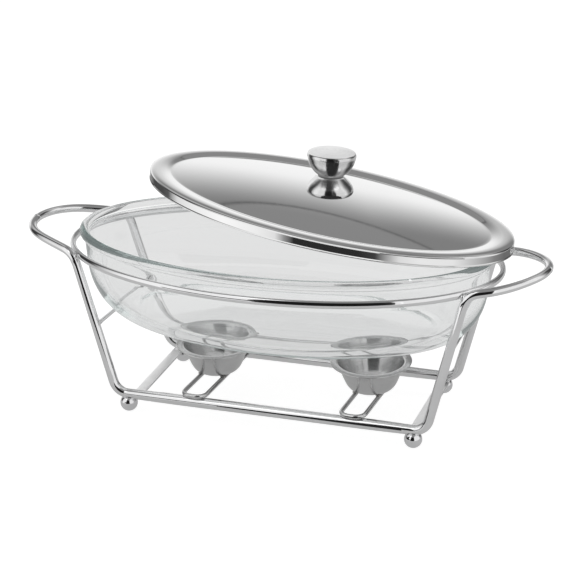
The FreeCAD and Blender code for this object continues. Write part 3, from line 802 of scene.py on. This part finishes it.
def screw_mesh():
    """Pan head with a driver slot under the lid, threaded shank up into the knob."""
    hz0 = wz - 1.0
    prof = [(0, hz0 - 2.8), (1.6, hz0 - 2.8), (2.9, hz0 - 2.68), (3.9, hz0 - 2.2), (4.45, hz0 - 1.5), (4.6, hz0 - 0.8), (4.6, hz0 - 0.15), (4.5, hz0), (2.45, hz0)]
    z = hz0 + 1.2
    top_z = z0 + KNOB_NECK_Z + 10.5
    while z < top_z - 1.0:
        prof += [(2.42, z), (2.05, z + 0.4)]
        z += 0.8
    prof += [(2.0, top_z - 0.5), (1.6, top_z), (0, top_z)]
    n = 48
    v, f = lathe(prof, n)
    v = [np.array(q) for q in v]
    # press the driver slot into the underside of the head
    for q in v:
        if q[2] < hz0 - 1.9 and abs(q[0]) < 0.62:
            q[2] = max(q[2], hz0 - 2.8 + 1.1)
    return v, f


v, f = screw_mesh()
make("knob_screw_slotted", v, f, "lid", ("knob_screw",), M_FAST, sharp=35, place=KNOB_PLACE)


# ------------------------------------------------------------------ burners
def burner_place(side):
    return rot("Z", BURNER_YAW[side]), np.array([CUP_X[side], CUP_Y, 0.0])


def cup_profile():
    d, tt = CUP_DEPTH, CUP_SHEET
    outer = [(0.0, 0.0), (6.0, 0.0), (12.2, 0.0), (14.4, 0.35), (16.4, 1.3), (18.2, 2.9), (19.7, 5.0), (21.0, 7.6),
             (22.6, 11.6), (24.2, 15.8), (25.6, 19.6), (26.3, 21.6), (27.1, 22.7), (28.6, 23.1),
             (31.3, 23.0), (31.95, 23.12), (32.1, 23.4), (31.95, 23.7), (31.3, 23.92), (28.8, d + 0.1)]
    inner = [(26.9, d - 0.25), (25.9, d - 1.1), (25.3, d - 2.6), (24.75, 19.8), (23.4, 16.1), (21.8, 11.9),
             (20.2, 8.0), (19.0, 5.5), (17.6, 3.5), (16.0, 2.05), (14.2, 1.15), (12.2, tt), (6.0, tt), (0.0, tt)]
    return [(max(r, 0.0), z + CUP_FLOOR_Z) for r, z in spline(outer + inner, 4)]


for side, nm in ((0, "left"), (1, "right")):
    prof = cup_profile()
    v, f = lathe(prof, 112)
    ob = make("spun_%s_burner_cup" % nm, v, f, nm + "_burner", (nm + "_burner_cup",), M_CUP, place=burner_place(side))
    lathe_uv(ob, prof, 112)
    h = BWIRE_HALF
    P = fillet_path([(-h, BWIRE_REAR, BWIRE_Z), (-h, BWIRE_FRONT, BWIRE_Z), (h, BWIRE_FRONT, BWIRE_Z), (h, BWIRE_REAR, BWIRE_Z)],
                    [BWIRE_BEND, BWIRE_BEND], steps=22, run=5.0)
    v, f = tube(P, BWIRE_R, n=20, ends="round")
    v = np.array(v)
    v[:, 1] = np.minimum(v[:, 1], BWIRE_REAR)
    make("bent_%s_burner_wire" % nm, list(v), f, nm + "_burner", (nm + "_burner_wire",), M_BWIRE, place=burner_place(side))
    spots = []
    for k, (wx, wy) in enumerate(((-h, -10.5), (h, -10.5), (-h, 10.5), (h, 10.5))):
        spots.append(blob((wx, wy, BWIRE_Z + 1.2), (2.5, 2.1, 1.3), None, 40 + 5 * side + k, rough=0.12))
    v, f = join(*spots)
    make("%s_burner_welds" % nm, v, f, nm + "_burner", (), M_WELD, place=burner_place(side))


# -------------------------------------------------------- floor and lighting
def math_node(nt, op, a, b=None, c=None):
    n = nt.nodes.new("ShaderNodeMath")
    n.operation = op
    for i, q in enumerate((a, b, c)):
        if q is None:
            continue
        if isinstance(q, (int, float)):
            n.inputs[i].default_value = q
        else:
            nt.links.new(q, n.inputs[i])
    return n.outputs[0]


def floor_material():
    """White paper: clean white to the eye, and a soft light grey wherever it is mirrored."""
    mat = bpy.data.materials.new("floor_paper")
    nt, out = nodes_of(mat)
    b = put(nt, "ShaderNodeBsdfDiffuse")
    tc = put(nt, "ShaderNodeTexCoord")
    n = put(nt, "ShaderNodeTexNoise", Scale=3.0, Detail=2.0)
    nt.links.new(tc.outputs["Object"], n.inputs["Vector"])
    r = ramp(nt, [(0.3, 0.29), (0.7, 0.31)])
    nt.links.new(n.outputs["Fac"], r.inputs["Fac"])
    nt.links.new(r.outputs["Color"], b.inputs["Color"])
    e = put(nt, "ShaderNodeEmission")
    lp = put(nt, "ShaderNodeLightPath")
    k = math_node(nt, "MULTIPLY", lp.outputs["Is Camera Ray"], 0.92 - 0.40)
    k2 = math_node(nt, "MULTIPLY", lp.outputs["Is Transmission Ray"], 0.56 - 0.40)
    nt.links.new(math_node(nt, "ADD", math_node(nt, "ADD", k, k2), 0.40), e.inputs["Strength"])
    add = put(nt, "ShaderNodeAddShader")
    nt.links.new(b.outputs[0], add.inputs[0])
    nt.links.new(e.outputs[0], add.inputs[1])
    nt.links.new(add.outputs[0], out.inputs["Surface"])
    return mat


def sheet(name, corners, mat):
    me = bpy.data.meshes.new(name)
    me.from_pydata(corners, [], [(0, 1, 2, 3)])
    ob = bpy.data.objects.new(name, me)
    me.materials.append(mat)
    bpy.context.scene.collection.objects.link(ob)
    return ob


floor = sheet("floor", [(-0.62, -0.345, -0.0002), (0.75, -0.345, -0.0002), (0.95, 1.6, -0.0002), (-0.95, 1.6, -0.0002)], floor_material())


def flag(name, corners, level):
    """Dark card off camera, only there to be mirrored."""
    mat = bpy.data.materials.new(name)
    nt, out = nodes_of(mat)
    e = put(nt, "ShaderNodeEmission", Strength=1.0)
    tc = put(nt, "ShaderNodeTexCoord")
    n = put(nt, "ShaderNodeTexNoise", Scale=5.0, Detail=1.0)
    nt.links.new(tc.outputs["Object"], n.inputs["Vector"])
    r = ramp(nt, [(0.3, level * 0.9), (0.7, level * 1.1)])
    nt.links.new(n.outputs["Fac"], r.inputs["Fac"])
    nt.links.new(r.outputs["Color"], e.inputs["Color"])
    nt.links.new(e.outputs[0], out.inputs["Surface"])
    ob = sheet(name, corners, mat)
    ob.visible_camera = ob.visible_diffuse = ob.visible_transmission = ob.visible_shadow = ob.visible_volume_scatter = False
    return ob


flag("low_flag", [(-0.40, -0.42, 0.028), (0.05, -0.42, 0.028), (0.05, -0.42, 0.112), (-0.40, -0.42, 0.112)], 0.02)
# close in front of the right half of the front rail, tapering to nothing on the left
flag("rail_flag", [(-0.045, -0.066, 0.0125), (0.107, -0.066, 0.0085), (0.107, -0.066, 0.027), (-0.045, -0.066, 0.0155)], 0.02)


def studio_world():
    """Soft studio all round: a bright sweep low behind, large boxes left and right, dark gaps between."""
    w = bpy.data.worlds.new("studio")
    bpy.context.scene.world = w
    w.use_nodes = True
    nt = w.node_tree
    nt.nodes.clear()
    L = nt.links.new
    out = nt.nodes.new("ShaderNodeOutputWorld")
    bg = nt.nodes.new("ShaderNodeBackground")
    L(bg.outputs[0], out.inputs["Surface"])
    tc = nt.nodes.new("ShaderNodeTexCoord")
    sep = nt.nodes.new("ShaderNodeSeparateXYZ")
    L(tc.outputs["Generated"], sep.inputs[0])

    def m(op, a, b=None, c=None):
        return math_node(nt, op, a, b, c)

    def ss(x, lo, hi):
        n = nt.nodes.new("ShaderNodeMapRange")
        n.interpolation_type = "SMOOTHSTEP"
        n.inputs["From Min"].default_value, n.inputs["From Max"].default_value = lo, hi
        L(x, n.inputs["Value"])
        return n.outputs[0]
    x, y, z = sep.outputs
    ax, ay = 0.9415, 0.3371
    across = m("ADD", m("MULTIPLY", x, ax), m("MULTIPLY", y, ay))
    away = m("ADD", m("MULTIPLY", x, -ay), m("MULTIPLY", y, ax))
    az = m("MULTIPLY", m("ARCTAN2", across, away), 180 / math.pi)                                # 0 behind, +90 right
    azf = m("MULTIPLY", m("ARCTAN2", m("MULTIPLY", across, -1.0), m("MULTIPLY", away, -1.0)), 180 / math.pi)   # 0 in front
    el = m("MULTIPLY", m("ARCSINE", z), 180 / math.pi)

    def win(v, lo, hi, soft_lo, soft_hi=None):
        soft_hi = soft_lo if soft_hi is None else soft_hi
        return m("MULTIPLY", ss(v, lo - soft_lo, lo + soft_lo), m("SUBTRACT", 1.0, ss(v, hi - soft_hi, hi + soft_hi)))

    def panel(v, a, e, level):
        return m("MULTIPLY", m("MULTIPLY", win(v, *a), win(el, *e)), level)

    def add(t, q):
        return m("ADD", t, q)

    def dim(t, mask, k):
        return m("MULTIPLY", t, m("SUBTRACT", 1.0, m("MULTIPLY", mask, k)))
    t = 0.26
    t = add(t, panel(az, (-146, -84, 0.8, 16), (-26, 64, 5, 9), 0.80))        # left box
    t = add(t, panel(az, (86, 172, 12, 4), (-30, 48, 6, 9), 0.72))           # right box
    t = add(t, panel(az, (20, 150, 14, 16), (40, 78, 12, 6), 0.30))          # its upper part
    rise = m("ADD", el, m("MULTIPLY", m("MAXIMUM", m("SUBTRACT", az, 6.0), 0.0), 0.8))
    t = add(t, m("MULTIPLY", m("MULTIPLY", win(az, -42, 34, 9, 9), m("SUBTRACT", 1.0, ss(rise, 5.5, 27.5))), 0.80))   # sweep behind
    t = add(t, panel(az, (-60, -22, 8, 6), (26, 70, 10, 8), 0.30))
    t = dim(t, m("MULTIPLY", win(az, -77, -52, 5, 6), win(el, -16, 56, 6, 8)), 0.82)
    t = dim(t, m("MULTIPLY", win(az, 44, 70, 4, 8), win(el, -20, 42, 8, 8)), 0.75)
    t = dim(t, m("MULTIPLY", win(az, -75, 75, 10), win(el, 62, 95, 4)), 0.6)
    # rounded dark field high behind, with a darker rim
    u = m("SUBTRACT", el, m("ADD", 24.1, m("MULTIPLY", m("POWER", m("ABSOLUTE", m("SUBTRACT", az, 1.3)), 2.0), 0.075)))
    t = dim(t, m("MULTIPLY", win(az, -30, 30, 4), m("MULTIPLY", ss(u, -0.3, 0.3), m("SUBTRACT", 1.0, ss(el, 60, 72)))), -0.14)
    t = dim(t, m("MULTIPLY", win(az, -16, 20, 3), win(u, -0.25, 0.45, 0.2)), 0.55)
    # the dark side of the room, round the camera; the boxes standing in it are lights of their own
    gap = m("MULTIPLY", win(azf, -15, 63, 0.8, 0.3), win(el, -60, 56, 2, 12))
    gap = m("MAXIMUM", gap, m("MULTIPLY", win(azf, -75, -15, 1.5, 0.8), win(el, -30, 48, 2, 2)))
    t = dim(t, gap, 0.955)
    t = dim(t, m("MULTIPLY", m("SUBTRACT", 1.0, win(az, -70, 75, 8)), ss(el, 53, 58)), 0.8)
    low = m("SUBTRACT", 1.0, ss(el, -34, -24))
    t = m("ADD", m("MULTIPLY", t, m("SUBTRACT", 1.0, low)), m("MULTIPLY", low, 0.55))
    lp = nt.nodes.new("ShaderNodeLightPath")
    k = lp.outputs["Is Camera Ray"]
    # seen straight through the glass the room is an even light grey
    g = lp.outputs["Is Transmission Ray"]
    t = m("ADD", m("MULTIPLY", t, m("SUBTRACT", 1.0, m("MULTIPLY", g, 0.75))), m("MULTIPLY", g, 0.685))
    L(m("ADD", m("MULTIPLY", t, m("SUBTRACT", 1.0, k)), m("MULTIPLY", k, 1.06)), bg.inputs["Strength"])
    bg.inputs["Color"].default_value = (1.0, 1.0, 1.0, 1)
    return w


studio_world()


def area(name, loc, target, size, power, glossy=True):
    ld = bpy.data.lights.new(name, "AREA")
    ld.shape = "RECTANGLE"
    ld.size, ld.size_y = size
    ld.energy = power
    ob = bpy.data.objects.new(name, ld)
    ob.location = loc
    ob.rotation_euler = (Vector(target) - Vector(loc)).to_track_quat("-Z", "Y").to_euler()
    bpy.context.scene.collection.objects.link(ob)
    ob.visible_glossy = glossy
    ob.visible_transmission = False
    return ob


area("overhead", (0.0, 0.3, 2.4), (0, 0, 0.05), (2.6, 2.6), 26, glossy=False)

STAND = [ob for ob, body in PIECES if body in ("stand", "left_burner", "right_burner")]
DISH = [ob for ob, body in PIECES if body == "dish"]
KNOB = [ob for ob, body in PIECES if body == "lid" and ob.name.startswith("knob")]
LID = [ob for ob, body in PIECES if body == "lid" and not ob.name.startswith("knob")]


def soft_box(name, az0, az1, el0, el1, level, lit):
    """Upright box far off, between two bearings and two heights, that lights only the pieces given."""
    dist = 12.0
    mid, half = math.radians((az0 + az1) / 2), math.radians(az1 - az0) / 2
    lo, hi = dist * math.tan(math.radians(el0)), dist * math.tan(math.radians(el1))
    way = math.sin(mid) * Vector((0.9415, 0.3371, 0)) + math.cos(mid) * Vector((-0.3371, 0.9415, 0))
    z = 0.1 + (lo + hi) / 2
    width = 2 * dist * math.tan(half)
    ob = area(name, way * dist + Vector((0, 0, z)), (0, 0, z), (width, hi - lo), level * math.pi * width * (hi - lo))
    ob.visible_camera = ob.visible_diffuse = False
    group = bpy.data.collections.new(name + "_lit")
    for q in lit:
        group.objects.link(q)
    ob.light_linking.receiver_collection = group
    return ob


soft_box("right_box", 105, 168, -30, 48, 0.93, STAND + DISH)
soft_box("lid_right_box", 105, 148, -30, 60, 0.85, KNOB + LID)
soft_box("lid_left_box", 208, 243, -26, 62, 0.90, KNOB + LID)
soft_box("lid_low_front_box", 148, 208, 12, 33, 0.80, LID)
soft_box("lid_high_front_box", 148, 208, 33, 62, 0.34, LID)
soft_box("left_box", 217, 243, -26, 64, 1.0, STAND + DISH)
soft_box("knob_top_box", -40, 40, 18, 62, 0.55, KNOB)
soft_box("strap_box", -32, 32, 8, 55, 0.40, [ob for ob in STAND if "strap" in ob.name])
soft_box("right_strap_box", -32, 32, 8, 55, 0.24, [ob for ob in STAND if "right_base_strap" in ob.name])
for q in KNOB:
    q.visible_glossy = False

top = area("ceiling_box", (1.7, -4.7, 12.0), (1.7, -4.7, 0.0), (15.0, 15.0), 0.22 * math.pi * 225.0)
top.visible_camera = top.visible_diffuse = False
over = bpy.data.collections.new("ceiling_box_lit")
for q in STAND + DISH + LID:
    over.objects.link(q)
top.light_linking.receiver_collection = over


def skirt_cards():
    """Row of white, grey and black cards standing close round the front of the lid, only there to be mirrored."""
    a, b = LID_A + 12.0, LID_B + 12.0
    t0, t1, n = math.radians(-168), math.radians(24), 160
    rows, uv = [], []
    for z in (-9.5, 3.6):
        for i in range(n + 1):
            t = t0 + (t1 - t0) * i / n
            rows.append(LID_ROT @ np.array([a * math.cos(t), b * math.sin(t), z]) + LID_PLACE[1])
            uv.append((i / n, z))
    faces = [(i, i + 1, n + 2 + i, n + 1 + i) for i in range(n)]
    mat = bpy.data.materials.new("skirt_cards")
    nt, out = nodes_of(mat)
    m = put(nt, "ShaderNodeUVMap")
    sep = put(nt, "ShaderNodeSeparateXYZ")
    nt.links.new(m.outputs[0], sep.inputs[0])
    stops = [(-160, 0.25), (-153, 0.08), (-140, 0.08), (-134, 0.12), (-127, 0.9), (-117, 1.07), (-104, 1.2), (-92, 1.1),
             (-85.5, 0.95), (-82.5, 0.35), (-79.5, 0.03), (-60, 0.03), (-54.5, 0.06), (-50.5, 0.5), (-47, 0.9), (-40, 1.03),
             (-27, 1.0), (-18, 0.7), (-10, 0.5), (-1, 0.28), (10, 0.18)]
    cr = ramp(nt, [((math.radians(d) - t0) / (t1 - t0), c) for d, c in stops])
    nt.links.new(sep.outputs[0], cr.inputs["Fac"])
    e = put(nt, "ShaderNodeEmission", Strength=1.0)
    nt.links.new(cr.outputs["Color"], e.inputs["Color"])
    clear = put(nt, "ShaderNodeBsdfTransparent")
    geo = put(nt, "ShaderNodeNewGeometry")
    mix = put(nt, "ShaderNodeMixShader")
    nt.links.new(geo.outputs["Backfacing"], mix.inputs[0])
    nt.links.new(clear.outputs[0], mix.inputs[1])
    nt.links.new(e.outputs[0], mix.inputs[2])
    nt.links.new(mix.outputs[0], out.inputs["Surface"])
    me = bpy.data.meshes.new("skirt_cards")
    me.from_pydata([tuple(np.array(q) * MM) for q in rows], [], faces)
    lay = me.uv_layers.new(name="UVMap")
    for poly in me.polygons:
        for li in poly.loop_indices:
            lay.data[li].uv = uv[me.loops[li].vertex_index]
    me.materials.append(mat)
    ob = bpy.data.objects.new("skirt_cards", me)
    bpy.context.scene.collection.objects.link(ob)
    ob.visible_camera = ob.visible_diffuse = ob.visible_transmission = ob.visible_shadow = ob.visible_volume_scatter = False


skirt_cards()


def knob_card():
    """Dark fan just above the lid in front of the knob, black from above and clear from below."""
    az = [math.radians(a) for a in range(150, 209, 4)]
    verts = []
    for rad in (4.0, 30.0, 95.0):
        for a in az:
            way = math.sin(a) * np.array([0.9415, 0.3371, 0]) + math.cos(a) * np.array([-0.3371, 0.9415, 0])
            d = LID_ROT.T @ way
            d[2] = 0.0
            verts.append(LID_ROT @ (d / np.linalg.norm(d) * rad + np.array([0, 0, DOME_TOP + 1.3])) + KNOB_PLACE[1])
    n = len(az)
    faces = [(k * n + i, (k + 1) * n + i, (k + 1) * n + i + 1, k * n + i + 1) for k in range(2) for i in range(n - 1)]
    me = bpy.data.meshes.new("knob_card")
    me.from_pydata([tuple(q * MM) for q in verts], [], faces)
    if me.polygons[0].normal.z < 0:
        me.flip_normals()
    mat = bpy.data.materials.new("knob_card")
    nt, out = nodes_of(mat)
    e = put(nt, "ShaderNodeEmission", Strength=0.03)
    clear = put(nt, "ShaderNodeBsdfTransparent")
    geo = put(nt, "ShaderNodeNewGeometry")
    mix = put(nt, "ShaderNodeMixShader")
    nt.links.new(geo.outputs["Backfacing"], mix.inputs[0])
    nt.links.new(e.outputs[0], mix.inputs[1])
    nt.links.new(clear.outputs[0], mix.inputs[2])
    nt.links.new(mix.outputs[0], out.inputs["Surface"])
    me.materials.append(mat)
    ob = bpy.data.objects.new("knob_card", me)
    bpy.context.scene.collection.objects.link(ob)
    ob.visible_camera = ob.visible_diffuse = ob.visible_transmission = ob.visible_shadow = ob.visible_volume_scatter = False


knob_card()

scene = bpy.context.scene
scene.view_settings.view_transform = "Standard"
scene.view_settings.look = "None"
scene.view_settings.exposure = 0.0
scene.view_settings.gamma = 1.0
# light runs round inside the thick glass, so its paths are kept long
scene.cycles.max_bounces = 24
scene.cycles.transmission_bounces = 24
scene.cycles.glossy_bounces = 24
